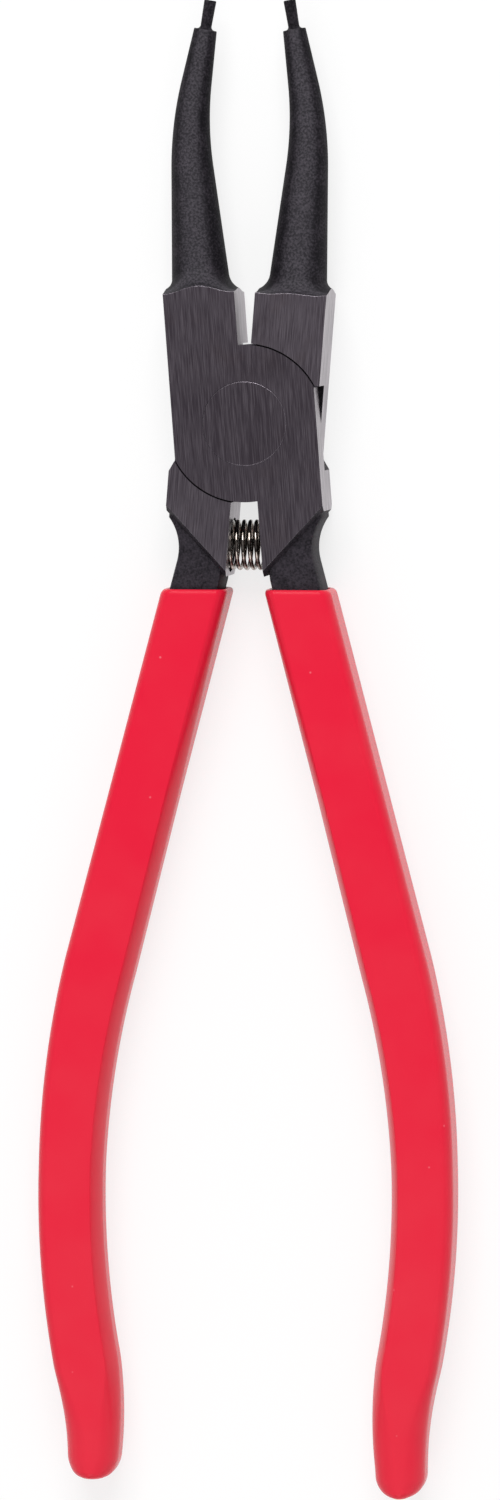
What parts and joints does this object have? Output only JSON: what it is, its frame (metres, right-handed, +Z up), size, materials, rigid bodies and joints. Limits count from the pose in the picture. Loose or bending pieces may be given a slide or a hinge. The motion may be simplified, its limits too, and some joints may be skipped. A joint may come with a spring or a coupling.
{
  "type": "internal circlip pliers",
  "caption": "Sprung hand pliers with crossed forged levers and pin tips that close on squeezing, to fit and remove retaining rings in bores; flush rivet joint, dipped red grips.",
  "frame": {"origin": "on the pivot axis, at the back face of the joint", "axes": "the pliers lie flat: +X to the right, +Y from the handles towards the tips, +Z up out of the front face, along the pivot"},
  "size_m": [0.0506, 0.1808, 0.0096],
  "materials": {
    "forged_steel": "dark phosphate on jaws and necks, ground grey on the head",
    "rivet_steel": "ground flush with the head",
    "spring_steel": "oiled spring wire",
    "grip_pvc": "smooth dipped coating"
  },
  "bodies": {
    "rear_half": {"rear_lever": "forged_steel", "pivot_rivet": "rivet_steel", "return_spring": "spring_steel", "left_grip": "grip_pvc"},
    "front_half": {"front_lever": "forged_steel", "right_grip": "grip_pvc"}
  },
  "joints": [
    {"name": "lever_pivot", "type": "hinge", "parent": "rear_half", "child": "front_half", "pos_m": [0, 0, 0], "axis": [0, 0, 1], "range_deg": [-8.7, 10], "stiffness_Nm_per_rad": 0.086, "deforming": ["return_spring"]}
  ]
}
